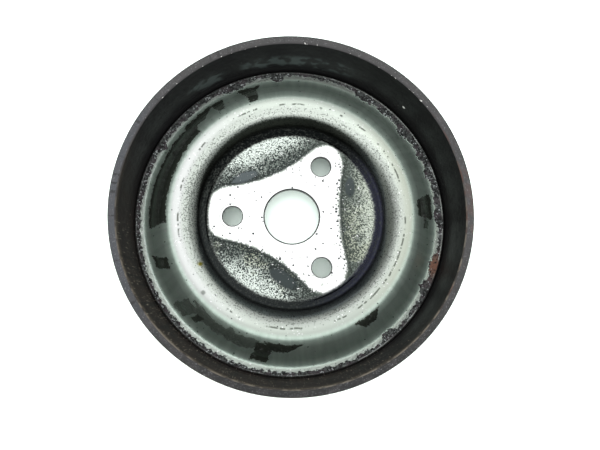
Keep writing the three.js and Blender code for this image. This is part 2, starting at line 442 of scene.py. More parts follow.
def rim_coat():
    """Black coat on the rim, darker towards the right, brown with rust and dust on the front left and
    kept black on the far side as painted shade, with painted reflections of the dish inside the wall and
    short pale streaks and specks.
    """
    g = Graph("rim_coat")
    cloud = g.noise(14 * MM, 4.0, seed=1.0)
    side = g.math("ADD", g.math("MULTIPLY", g.x, -0.45), g.math("MULTIPLY", g.y, -0.9))
    # brown rust and dust on the front left, where the wall faces the light; the far side stays black as
    # painted shade
    rust_and_lit_side = g.span(side, -10 * MM, 60 * MM)
    brown = g.math("MULTIPLY", rust_and_lit_side, g.span(cloud, 0.3, 0.65, 0.45, 1.0))
    coat = g.mix(brown, colour(17, 17, 18), colour(33, 29, 25))
    coat = g.mix(g.span(g.x, 0.0, 50 * MM, 0.0, 0.75), coat, colour(9, 9, 9))
    # a pale tan band at the mouth on the front left: partly dust and wear, partly painted light
    mouth = g.math("MULTIPLY", rust_and_lit_side, g.span(g.z, WIDTH - 5 * MM, WIDTH))
    coat = g.mix(g.math("MULTIPLY", mouth, 0.7), coat, colour(74, 68, 58))
    # painted reflections of the dish: pale grey-green patches on the inside of the wall, with a gap in
    # them
    reflected_stretch = g.band(g.angle, *REFLECTION_STRETCH, 0.06)
    reflection_gap = g.band(g.angle, *REFLECTION_GAP_STRETCH, 0.03)
    painted_reflections = g.math("MULTIPLY", g.band(g.z, 10 * MM, 19 * MM, 2 * MM), reflected_stretch)
    painted_reflections = g.math("MULTIPLY", painted_reflections, g.math("SUBTRACT", 1.0, reflection_gap))
    painted_reflections = g.math("MULTIPLY", painted_reflections, g.span(g.noise(5 * MM, 3.0, seed=33.0), 0.46, 0.58))
    coat = g.mix(g.math("MULTIPLY", painted_reflections, 0.6), coat, colour(60, 68, 67))
    streaks = g.pattern(1.0, g.around(150.0, 0.0, 190.0), 2.0)
    streaks = g.span(streaks, g.span(rust_and_lit_side, 0, 1, 0.82, 0.6), 0.84)
    drips = g.pattern(2.0, g.around(34.0, 0.0, 26.0), 5.0)
    drips = g.math("MULTIPLY", g.span(drips, 0.5, 0.66), g.span(rust_and_lit_side, 0, 1, 0.0, 0.7))
    coat = g.mix(drips, coat, colour(18, 19, 17))
    coat = g.mix(g.math("MULTIPLY", streaks, 0.85), coat, colour(126, 120, 108))
    specks = spots(g, 0.8 * MM, 0.2, 3.0)
    coat = g.mix(g.math("MULTIPLY", specks, 0.7), coat, colour(130, 132, 130))
    fleck = g.add("ShaderNodeVectorMath", g.place, FLECK, operation="DISTANCE").outputs["Value"]
    coat = g.mix(g.span(fleck, 0.5 * MM, 1.0 * MM, 1.0, 0.0), coat, colour(196, 198, 192))
    grain = g.noise(0.35 * MM, 2.0, seed=4.0)
    waves = g.noise(11 * MM, 2.0, seed=27.0)
    normal = g.bump(grain, 0.006 * MM, g.bump(waves, 0.9 * MM))
    roughness = g.blend(rust_and_lit_side, 0.5, 0.8)
    return g.finish(Base_Color=coat, Roughness=roughness, Specular_IOR_Level=0.18, Normal=normal)


def rim_end_face():
    """The turned front face of the rim: worn dark grey, with painted shade towards the front and painted
    light on the left, with radial ticks and a few rusty stretches.
    """
    g = Graph("rim_end_face")
    # painted shade: the face darkens towards the front; painted light: the left of the face is lighter
    # and bluer
    painted_front_shade = g.span(g.y, -78 * MM, 0.0)
    cloud = g.noise(6 * MM, 4.0, seed=5.0)
    face = g.mix(painted_front_shade, colour(4, 5, 5), colour(38, 38, 38))
    left = g.span(g.x, -75 * MM, -45 * MM, 1.0, 0.0)
    face = g.mix(g.math("MULTIPLY", left, 0.5), face, colour(44, 48, 54))
    face = g.mix(g.math("MULTIPLY", g.span(cloud, 0.45, 0.7), 0.3), face, colour(52, 49, 50))
    ticks = g.span(g.pattern(1.0, g.around(42.0, 40.0), 28.0), 0.66, 0.7)
    ticks = g.math("MULTIPLY", ticks, g.span(g.x, -70 * MM, 30 * MM, 1.0, 0.15))
    face = g.mix(g.math("MULTIPLY", ticks, 0.8), face, colour(14, 14, 15))
    grit = g.noise(0.45 * MM, 2.0, seed=6.0)
    face = g.mix(g.math("MULTIPLY", g.span(grit, 0.58, 0.72), 0.6), face, colour(92, 92, 94))
    blotches = g.span(g.noise(5 * MM, 3.0, seed=7.0), 0.5, 0.66)
    right = g.math("MULTIPLY", g.span(g.x, 66 * MM, 75 * MM), blotches)
    face = g.mix(g.math("MULTIPLY", right, 0.25), face, colour(70, 44, 36))
    normal = g.bump(grit, 0.01 * MM)
    return g.finish(Base_Color=face, Metallic=0.2, Roughness=0.6, Specular_IOR_Level=0.25, Normal=normal)


def rim_mouth_edge():
    """The chamfer inside the mouth, where the coat has worn through to tan and rusty steel, with painted
    shade keeping it dark grey on the far side.
    """
    g = Graph("rim_mouth_edge")
    # the wear shows on the front, where the chamfer faces the light; the far side is painted dark grey
    # as shade
    wear_on_lit_front = g.span(g.y, -30 * MM, 40 * MM, 1.0, 0.0)
    patches = g.span(g.noise(4 * MM, 4.0, seed=8.0), 0.42, 0.58)
    worn = g.mix(patches, colour(30, 27, 23), colour(76, 71, 62))
    edge = g.mix(wear_on_lit_front, colour(40, 39, 40), worn)
    blotches = g.span(g.noise(6 * MM, 3.0, seed=9.0), 0.45, 0.6)
    right = g.math("MULTIPLY", g.span(g.x, 55 * MM, 70 * MM), blotches)
    edge = g.mix(g.math("MULTIPLY", right, 0.6), edge, colour(66, 38, 28))
    chips = g.math("MULTIPLY", spots(g, 1.1 * MM, 0.32, 10.0), g.span(g.y, 30 * MM, 50 * MM))
    edge = g.mix(chips, edge, colour(190, 190, 186))
    return g.finish(Base_Color=edge, Metallic=0.3, Roughness=0.5, Normal=g.bump(patches, 0.02 * MM))


def rim_grooves():
    """Rib flanks polished grey by the belt, darker in the roots, with brown dust."""
    g = Graph("rim_grooves")
    depth = g.span(g.radius, RIM_R - GROOVE_DEPTH, RIM_R)
    lines = g.pattern(2.0, g.around(6.0, 2600.0, 2600.0))
    steel = g.mix(depth, colour(62, 58, 54), colour(142, 141, 138))
    steel = g.mix(g.math("MULTIPLY", g.span(lines, 0.45, 0.7), 0.4), steel, colour(92, 88, 84))
    rust = g.span(g.noise(10 * MM, 5.0, seed=11.0), 0.54, 0.7)
    steel = g.mix(g.math("MULTIPLY", rust, 0.6), steel, colour(84, 68, 54))
    metallic = g.blend(rust, 0.85, 0.3)
    roughness = g.blend(rust, 0.34, 0.7)
    normal = g.bump(lines, 0.006 * MM)
    return g.finish(Base_Color=steel, Metallic=metallic, Roughness=roughness, Normal=normal)


def dish_front():
    """Grey-green glossy coat of the dish's front, with its dry film, stains, grain and rusting edge, and
    painted highlight and painted shade on the raised ring, the ledge and the cut edge.
    """
    g = Graph("dish_front")
    grain = g.noise(0.8 * MM, 1.0, seed=12.0)
    fine = g.noise(0.9 * MM, 3.0, seed=13.0)
    broad = g.noise(9 * MM, 3.0, seed=14.0)
    patchy = g.noise(3.5 * MM, 4.0, seed=29.0)
    ragged = g.math("MULTIPLY", g.math("SUBTRACT", patchy, 0.5), 3.0)

    # the dry film in soft radial streaks, with painted highlight and painted shade on the raised ring
    # and the ledge, and the hard-edged stains where it is missing
    streaks = g.pattern(2.0, g.around(24.0, 60.0), 30.0)
    film = g.mix(g.span(streaks, 0.3, 0.7), colour(133, 147, 138), colour(146, 160, 151))
    flat_top = g.band(g.radius, CREST_R - 1.9 * MM, CREST_R + 3 * MM, 1.4 * MM)
    flat_ledge = g.span(g.radius, LEDGE_START - 0.8 * MM, LEDGE_START + 0.6 * MM)
    level = g.math("MAXIMUM", flat_top, flat_ledge)
    # painted shade: a darker film on the flat top of the ring and on the ledge, a little different to
    # each side, dims their highlights
    painted_shade_flat_film = g.mix(g.span(g.x, -50 * MM, -10 * MM), colour(120, 122, 121), colour(117, 123, 117))
    painted_shade_flat_film = g.mix(g.span(g.x, 20 * MM, 50 * MM), painted_shade_flat_film, colour(119, 124, 115))
    # painted shade on the inner half of the ring's top, dimming its highlight
    painted_shade_inner = g.span(g.radius, CREST_R - 1 * MM, CREST_R + 2 * MM, 1.0, 0.0)
    film = g.mix(painted_shade_inner, film, colour(139, 145, 139))
    film = g.mix(level, film, painted_shade_flat_film)
    # painted highlight: a lighter band on the ring's inner slope
    painted_slope_highlight = g.band(g.radius, CREST_R - 6.3 * MM, CREST_R - 3.8 * MM, 0.6 * MM)
    film = g.mix(painted_slope_highlight, film, colour(170, 177, 170))
    # painted shade on the right of the ring's inner half
    painted_shade_right = g.span(g.math("SUBTRACT", g.x, g.y), -10 * MM, 50 * MM)
    inside = g.span(g.radius, CREST_R - 1.5 * MM, CREST_R + 1 * MM, 0.75, 0.0)
    film = g.mix(g.math("MULTIPLY", painted_shade_right, inside), film, colour(94, 98, 94))
    # painted shade on the ledge, dimming its highlight
    painted_shade_ledge = g.span(g.radius, LEDGE_START - 0.4 * MM, LEDGE_START + 0.6 * MM)
    film = g.mix(painted_shade_ledge, film, colour(104, 110, 105))
    frayed = g.math("MULTIPLY", g.math("SUBTRACT", fine, 0.5), 1.6)
    frayed = g.math("ADD", g.math("MULTIPLY", ragged, 0.9), frayed)
    stain = g.span(g.math("ADD", g.mask("stain"), frayed), -0.25, 0.3)
    faint = g.span(g.math("ADD", g.mask("faint_stain"), g.math("MULTIPLY", ragged, 1.6)), -0.3, 0.3)
    bare_coat = g.math("MAXIMUM", stain, g.math("MULTIPLY", faint, 0.5))
    base = g.mix(bare_coat, film, colour(92, 100, 90))
    metallic = g.blend(bare_coat, 0.82, 0.94)

    # the hub's recess is painted dark, darkest on the far side, and violet on the right
    far_side = g.span(g.math("SUBTRACT", g.y, g.math("MULTIPLY", g.x, 0.35)), 0.0, 30 * MM)
    violet = g.math("MULTIPLY", g.span(g.x, 0.0, 35 * MM), g.math("SUBTRACT", 1.0, far_side))
    dark_ring_colour = g.mix(violet, colour(17, 19, 19), colour(20, 21, 28))
    dark_ring_colour = g.mix(far_side, dark_ring_colour, colour(4, 5, 5))
    high = g.mix(far_side, colour(116, 124, 124), colour(62, 66, 60))
    dark_ring_colour = g.mix(g.span(g.radius, HUB_R + 2.6 * MM, HUB_R + 3.9 * MM), dark_ring_colour, high)
    dark_ring = g.math("ADD", g.mask("dark_ring"), g.math("MULTIPLY", g.math("SUBTRACT", grain, 0.5), 0.7))
    dark_ring = g.span(dark_ring, 0.15, 0.85)
    metallic = g.blend(dark_ring, metallic, 1.0)

    # the pockets: smooth along the inner edge, with painted shade there, then coarse pits that grow
    # paler outwards
    reach = g.mask("reach")
    pit_grain = g.noise(0.62 * MM, 1.0, seed=34.0)
    right = g.span(g.x, 0.0, 20 * MM)
    near = g.span(g.y, -16 * MM, -6 * MM, 1.0, 0.0)
    near_left = g.math("MULTIPLY", near, g.math("SUBTRACT", 1.0, right))
    share = g.math("MULTIPLY", g.math("SUBTRACT", reach, g.blend(near_left, 0.4, 0.56)), 0.2)
    dots = g.span(g.math("ADD", pit_grain, share), 0.44, 0.56)
    outward = g.span(g.math("ADD", reach, g.math("SUBTRACT", broad, 0.5)), 0.18, 0.76)
    outer_pale = g.mix(right, colour(134, 141, 136), colour(118, 124, 115))
    outer_pale = g.mix(near_left, outer_pale, colour(132, 139, 134))
    pale = g.mix(outward, colour(66, 72, 68), outer_pale)
    olive = g.math("MULTIPLY", g.span(broad, 0.47, 0.58), g.span(g.y, -5 * MM, 10 * MM, 0.5, 0.0))
    pale = g.mix(olive, pale, colour(108, 112, 97))
    pitted = g.mix(dots, g.mix(right, colour(20, 24, 23), colour(38, 43, 39)), pale)
    # painted shade on each pocket's inner slope
    pitted = g.mix(g.math("MULTIPLY", g.mask("slope"), 0.6), pitted, colour(36, 41, 40))
    patch_far = g.span(g.math("SUBTRACT", g.y, g.math("MULTIPLY", g.x, 0.5)), -10 * MM, 20 * MM)
    patch_tone = g.mix(patch_far, colour(30, 35, 35), colour(47, 52, 53))
    patch = g.math("ADD", g.mask("patch"), g.math("MULTIPLY", g.math("SUBTRACT", pit_grain, 0.5), 1.6))
    pitted = g.mix(g.span(patch, 0.3, 0.8), pitted, patch_tone)
    base = g.mix(g.mask("pocket"), base, pitted)

    # the seats of the bolts: three bright bare lobes with a ragged edge
    edge = g.math("ADD", g.mask("lobe"), g.math("MULTIPLY", g.math("SUBTRACT", grain, 0.5), 2.4))
    edge = g.math("ADD", edge, g.math("MULTIPLY", g.math("SUBTRACT", patchy, 0.5), 1.2))
    bare = g.span(edge, 0.5, 0.6)
    bare_metal = g.mix(g.span(fine, 0.3, 0.7), colour(140, 141, 141), colour(151, 152, 152))
    base = g.mix(bare, base, bare_metal)
    metallic = g.blend(bare, metallic, 0.8)

    # specks scattered on the seats near the pockets, and the faint print of a washer
    few = g.specks(3.4 * MM, 0.95 * MM, 0.2, 35.0)
    many = g.specks(1.3 * MM, 1.05 * MM, g.mask("fringe"), 36.0)
    dark_specks = g.math("MULTIPLY", g.math("MAXIMUM", few, many), bare)
    base = g.mix(dark_specks, base, colour(30, 32, 32))
    print_x, print_y = bolt_places()[1]
    away = g.away_from(print_x, print_y)
    washer = g.band(away, WASHER_PRINT_R - 0.15 * MM, WASHER_PRINT_R + 0.15 * MM, 0.1 * MM)
    washer = g.math("MULTIPLY", washer, g.span(g.x, print_x, print_x + 3 * MM, 1.0, 0.0))
    base = g.mix(g.math("MULTIPLY", washer, 0.8), base, colour(84, 88, 84))

    # the dark ring lies over everything at the hub's edge and in the recess
    base = g.mix(dark_ring, base, dark_ring_colour)

    # dark lines round the bore and the bolt holes
    line = g.span(g.radius, BORE_R + 0.5 * MM, BORE_R + 0.6 * MM, 1.0, 0.0)
    for x, y in bolt_places():
        hole_line = g.span(g.away_from(x, y), BOLT_HOLE_R + 0.3 * MM, BOLT_HOLE_R + 0.4 * MM, 0.8, 0.0)
        line = g.math("MAXIMUM", line, hole_line)
    base = g.mix(line, base, colour(34, 36, 36))

    # the dashed ring of scuffs on top of the raised ring
    wobble = g.math("MULTIPLY", g.math("SUBTRACT", g.noise(5 * MM, 3.0, seed=15.0), 0.5), 1.1 * MM)
    ring_r = g.math("ADD", g.radius, wobble)
    dashes = g.span(g.pattern(2.0, g.around(40.0, 100.0), 16.0), 0.4, 0.5)
    dashes = g.math("MULTIPLY", dashes, g.mask("scuff"))
    ring = g.band(ring_r, CREST_R - 0.75 * MM, CREST_R - 0.05 * MM, 0.15 * MM)
    scuffs = g.math("MULTIPLY", ring, dashes)
    base = g.mix(g.math("MULTIPLY", scuffs, 0.85), base, colour(44, 48, 42))
    metallic = g.blend(scuffs, metallic, 0.5)

    base = g.mix(g.math("MULTIPLY", g.mask("blot"), 0.8), base, colour(62, 66, 62))

    # small dark pits, dense on the inner half of the raised ring
    pits = g.math("MULTIPLY", g.mask("grain"), 0.17)
    pits = g.span(g.math("ADD", g.noise(0.62 * MM, 1.0, seed=31.0), pits), 0.72, 0.8)
    base = g.mix(g.math("MULTIPLY", pits, 0.62), base, colour(30, 32, 30))
    dirt = g.specks(3.2 * MM, 0.6 * MM, 0.2, 17.0)
    base = g.mix(g.math("MULTIPLY", dirt, 0.9), base, colour(22, 23, 24))

    # rust creeping in from the cut edge in blooms, with a copper-red stretch
    teeth = g.noise(1.8 * MM, 4.0, seed=36.0)
    creep = g.math("ADD", g.mask("bloom"), g.math("MULTIPLY", g.math("SUBTRACT", teeth, 0.5), 4.6))
    rust = g.span(creep, -0.12, 0.12)
    crust = g.mix(g.span(fine, 0.42, 0.62), colour(12, 13, 13), colour(56, 59, 58))
    crust = g.mix(g.math("MULTIPLY", g.span(patchy, 0.5, 0.58), 0.5), crust, colour(50, 43, 47))
    flakes = spots(g, 0.8 * MM, 0.36, 32.0)
    crust = g.mix(g.math("MULTIPLY", flakes, 0.7), crust, colour(140, 145, 145))
    copper = g.math("MULTIPLY", g.mask("copper"), g.span(fine, 0.35, 0.5))
    crust = g.mix(copper, crust, colour(84, 58, 46))
    base = g.mix(rust, base, crust)
    metallic = g.blend(rust, metallic, 0.2)

    # the cut edge itself: a painted highlight along its corner, brighter to the right, and painted shade
    # past it, in the gap against the rim
    corner = g.band(g.radius, DISH_R - 0.85 * MM, DISH_R - 0.5 * MM, 0.1 * MM)
    painted_edge_highlight = g.math("MULTIPLY", corner, g.span(g.noise(8 * MM, 3.0, seed=20.0), 0.42, 0.56))
    painted_edge_highlight = g.math("MULTIPLY", painted_edge_highlight, g.span(g.x, 0.0, 50 * MM, 0.25, 1.0))
    beyond = g.span(g.radius, DISH_R - 0.5 * MM, DISH_R - 0.3 * MM)
    base = g.mix(g.math("MULTIPLY", beyond, 0.9), base, colour(20, 21, 20))
    base = g.mix(g.math("MULTIPLY", painted_edge_highlight, 0.7), base, colour(128, 132, 128))

    yellow = g.math("MULTIPLY", g.mask("yellow"), g.span(fine, 0.3, 0.45))
    base = g.mix(yellow, base, colour(112, 106, 36))

    roughness = g.blend(rust, g.blend(g.mask("pocket"), g.blend(bare_coat, 0.3, 0.2), 0.4), 0.7)
    normal = g.bump(grain, g.math("MULTIPLY", g.mask("grain"), 0.1 * MM))
    normal = g.bump(g.math("MULTIPLY", fine, rust), 0.14 * MM, normal)
    return g.finish(
        Base_Color=base, Metallic=metallic, Roughness=roughness, Specular_IOR_Level=0.2, Normal=normal)


def dish_back():
    """The dish's hidden side: the same coat, duller, with rust blooming at the hub's contact ring."""
    g = Graph("dish_back")
    broad = g.noise(16 * MM, 4.0, seed=21.0)
    fine = g.noise(0.8 * MM, 3.0, seed=22.0)
    base = g.mix(g.span(broad, 0.35, 0.65), colour(76, 86, 79), colour(104, 116, 106))
    contact = g.band(g.radius, 14 * MM, 33 * MM, 0.6 * MM)
    flat = g.math("MULTIPLY", contact, g.span(fine, 0.3, 0.45))
    base = g.mix(g.math("MULTIPLY", flat, 0.7), base, colour(160, 170, 161))
    rust = g.span(g.noise(7 * MM, 5.0, seed=23.0), 0.55, 0.66)
    rust = g.math("MULTIPLY", rust, g.span(fine, 0.3, 0.6))
    base = g.mix(g.math("MULTIPLY", rust, 0.75), base, colour(92, 58, 40))
    metallic = g.blend(rust, 0.7, 0.2)
    roughness = g.blend(rust, 0.38, 0.7)
    normal = g.bump(fine, 0.01 * MM)
    return g.finish(Base_Color=base, Metallic=metallic, Roughness=roughness, Normal=normal)


def weld_metal():
    """Weld metal under the coat: brown-black, with patches of rust."""
    g = Graph("weld_metal")
    fine = g.noise(0.6 * MM, 3.0, seed=24.0)
    base = g.mix(g.span(fine, 0.35, 0.65), colour(52, 47, 44), colour(98, 92, 88))
    rust = g.span(g.noise(6 * MM, 4.0, seed=25.0), 0.5, 0.62)
    base = g.mix(g.math("MULTIPLY", rust, 0.6), base, colour(104, 66, 44))
    return g.finish(Base_Color=base, Metallic=0.6, Roughness=0.48, Normal=g.bump(fine, 0.02 * MM))


def table_top():
    """Matt white paper with a faint tooth."""
    g = Graph("table_top")
    paper = g.noise(1.5 * MM, 3.0, seed=26.0)
    base = g.mix(paper, colour(228, 241, 234), colour(233, 246, 239))
    normal = g.bump(paper, 0.005 * MM)
    return g.finish(Base_Color=base, Roughness=0.8, Specular_IOR_Level=0.2, Normal=normal)


# ---------------------------------------------------------------- the pieces

def groove_corners():
    """The grooves' corners on the outside of the rim, from the rear to the front."""
    side = GROOVE_DEPTH * math.tan(math.radians(GROOVE_HALF_ANGLE))
    mouth = GROOVE_PITCH - RIB_TIP
    root_r = RIM_R - GROOVE_DEPTH
    first = WIDTH / 2 - (GROOVES - 1) * GROOVE_PITCH / 2
    corners = []
    for i in range(GROOVES):
        middle = first + i * GROOVE_PITCH
        corners += [
            (RIM_R, middle - mouth / 2, RIB_ROUND),
            (root_r, middle - mouth / 2 + side, RIB_ROUND),
            (root_r, middle + mouth / 2 - side, RIB_ROUND),
            (RIM_R, middle + mouth / 2, RIB_ROUND),
        ]
    return corners


def make_rim():
    corners = [
        (FLANGE_R, 0, FLANGE_EDGE),
        (RIM_R, 0, RIM_EDGE),
        *groove_corners(),
        (RIM_R, WIDTH, RIM_FRONT_EDGE),
        (MOUTH_R + MOUTH_EDGE, WIDTH, 0.06 * MM),
        (MOUTH_R, WIDTH - MOUTH_EDGE, 0.1 * MM),
        (*WALL_FOOT, 1.5 * MM),
        (*SEAT, 0.5 * MM),
        (SEAT[0], FLANGE_THICKNESS, 0.3 * MM),
        (FLANGE_R, FLANGE_THICKNESS, FLANGE_EDGE),
    ]
    outline = filled_in(rounded(corners), RIM_STEP)
    rim = ring_object("rim", ring_coordinates(outline, TURNS))
    for material in (rim_coat(), rim_end_face(), rim_mouth_edge(), rim_grooves()):
        rim.data.materials.append(material)
    front_groove = WIDTH / 2 + GROOVES * GROOVE_PITCH / 2
    rear_groove = WIDTH - front_groove
    for face in rim.data.polygons:
        r = math.hypot(face.center.x, face.center.y)
        z = face.center.z
        if z > WIDTH - 0.02 * MM:
            face.material_index = 1
        elif z > WIDTH - MOUTH_EDGE - 0.05 * MM and r < MOUTH_R + MOUTH_EDGE:
            face.material_index = 2
        elif r > RIM_R - GROOVE_DEPTH - 0.05 * MM and rear_groove < z < front_groove:
            face.material_index = 3
    smooth(rim, 35)
    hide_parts("grooved_rim")
    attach(rim, "root")


def dish_outlines():
    """The dish's front from ledge to bore and its back from bore to ledge, as (r, z) points."""
    ledge_front = LEDGE_BACK + SHEET
    ledge_centre = (LEDGE_START, ledge_front + LEDGE_FILLET)
    outer_centre = (CREST_R, CREST_Z - CREST_OUTER_ROUND)
    inner_centre = (CREST_R, CREST_Z - CREST_INNER_ROUND)
    valley_z = HUB_Z - HUB_STEP
    slope = math.radians(INNER_SLOPE)
    top_r = CREST_R - CREST_INNER_ROUND * math.sin(slope)
    top_z = inner_centre[1] + CREST_INNER_ROUND * math.cos(slope)
    foot_z = valley_z + VALLEY_FILLET * (1 - math.cos(slope))
    foot_r = top_r - (top_z - foot_z) / math.tan(slope)
    valley_centre = (foot_r - VALLEY_FILLET * math.sin(slope), valley_z + VALLEY_FILLET)
    front = [
        *round_stretch(ledge_centre, LEDGE_FILLET, 0, -OUTER_SLOPE, -1),
        *round_stretch(outer_centre, CREST_OUTER_ROUND, OUTER_SLOPE, 0, 1),
        *round_stretch(inner_centre, CREST_INNER_ROUND, 0, -INNER_SLOPE, 1)[1:],
        *round_stretch(valley_centre, VALLEY_FILLET, INNER_SLOPE, 0, -1),
        *round_stretch((HUB_R - HUB_STEP, valley_z), HUB_STEP, 84, 0, 1),
    ]
    back = [
        (HUB_R - 2 * HUB_STEP, HUB_Z - SHEET),
        (HUB_R - HUB_STEP, valley_z - SHEET),
        *round_stretch(valley_centre, VALLEY_FILLET + SHEET, 0, INNER_SLOPE, -1),
        *round_stretch(inner_centre, CREST_INNER_ROUND - SHEET, -INNER_SLOPE, 0, 1),
        *round_stretch(outer_centre, CREST_OUTER_ROUND - SHEET, 0, OUTER_SLOPE, 1)[1:],
        *round_stretch(ledge_centre, LEDGE_FILLET + SHEET, -OUTER_SLOPE, 0, -1),
    ]
    return front, back


def bolt_places():
    """Centres of the bolt holes in the plane."""
    turns = [math.radians(FIRST_BOLT + i * 360 / LOBES) for i in range(LOBES)]
    return [(BOLT_CIRCLE_R * math.cos(a), BOLT_CIRCLE_R * math.sin(a)) for a in turns]


def turned_from(angle, degrees):
    """Turn from a direction, between -180 and 180 degrees."""
    return (angle - degrees + 180) % 360 - 180


def pocket_reach(x, y):
    """How far a point lies inside the nearest pocket's round inner edge."""
    reach = np.full(len(x), -30 * MM)
    for degrees, start, arc in POCKETS:
        middle = math.radians(degrees)
        centre = (start + arc) * MM
        inside = arc * MM - np.hypot(x - centre * math.cos(middle), y - centre * math.sin(middle))
        reach = np.maximum(reach, inside)
    return reach


def sink_pockets(points):
    """Lowers the hub's front face into its three pockets, which fall away towards the hub's edge."""
    x, y, z = points.reshape(-1, 3).T
    r = np.hypot(x, y)
    reach = pocket_reach(x, y)
    depth = POCKET_STEP * smoothstep(0, POCKET_SLOPE, reach)
    depth += POCKET_FALL * smoothstep(0, POCKET_LENGTH, reach)
    front = (r < HUB_R) & (z > HUB_Z - HUB_STEP)
    points.reshape(-1, 3)[:, 2] = np.where(front, np.minimum(z, HUB_Z - depth), z)


def roughen_ledge(points):
    """Raises flakes of rust a little where the ledge meets the rim."""
    flat = points.reshape(-1, 3)
    r = np.hypot(flat[:, 0], flat[:, 1])
    angle = np.arctan2(flat[:, 1], flat[:, 0])
    lumps = np.zeros(len(flat))
    random = np.random.default_rng(7)
    for waves in (61, 97, 151, 211):
        across = random.uniform(1500, 4500)
        round_turn = np.sin(waves * angle + random.uniform(0, 6.28))
        lumps += round_turn * np.sin(across * r + random.uniform(0, 6.28))
    top = flat[:, 2] > LEDGE_BACK + SHEET - 0.1 * MM
    share = smoothstep(DISH_R - 3.4 * MM, DISH_R - 1.2 * MM, r) * (r < DISH_R - 0.3 * MM) * top
    flat[:, 2] += share * 0.06 * MM * lumps


def spool(name, x, y, radius):
    """A cutter for a hole with a small countersink at both faces of the sheet."""
    low, high = HUB_Z - SHEET, HUB_Z
    far = 3 * MM
    wide = radius + HOLE_EDGE + far
    rings = [
        (wide, low - far), (radius, low + HOLE_EDGE), (radius, high - HOLE_EDGE), (wide, high + far),
    ]
    vertices = [(x, y, low - far), (x, y, high + far)]
    first = len(vertices)
    for r, z in rings:
        for i in range(HOLE_STEPS):
            a = i * 2 * math.pi / HOLE_STEPS
            vertices.append((x + r * math.cos(a), y + r * math.sin(a), z))
    last = len(vertices) - HOLE_STEPS
    following = [(i + 1) % HOLE_STEPS for i in range(HOLE_STEPS)]
    faces = []
    for a in range(first, last, HOLE_STEPS):
        b = a + HOLE_STEPS
        faces += [(a + i, a + j, b + j, b + i) for i, j in enumerate(following)]
    faces += [(0, first + j, first + i) for i, j in enumerate(following)]
    faces += [(1, last + i, last + j) for i, j in enumerate(following)]
    mesh = bpy.data.meshes.new(name)
    mesh.from_pydata(vertices, [], faces)
    made = bpy.data.objects.new(name, mesh)
    bpy.context.scene.collection.objects.link(made)
    return made


def inside_stains(stains, angle, r):
    """Distance in mm inside the nearest stain; negative outside them all."""
    inside = np.full(len(r), NO_STAIN)
    for outer, inner, outer_from, outer_to, inner_from, inner_to in stains:
        share = (r - inner) / (outer - inner)
        start = inner_from + (outer_from - inner_from) * share
        end = inner_to + (outer_to - inner_to) * share
        middle = (start + end) / 2
        half = (end - start) / 2
        along = (half - np.abs(turned_from(angle, middle))) * np.radians(1) * r
        inside = np.maximum(inside, np.minimum(along, np.minimum(outer - r, r - inner)))
    return inside


def inside_corner(first, second, rounding):
    """Distance inside both of two edges, whose corner is rounded."""
    nearest = np.maximum(np.minimum(first, second), rounding)
    return nearest - np.hypot(np.maximum(rounding - first, 0), np.maximum(rounding - second, 0))


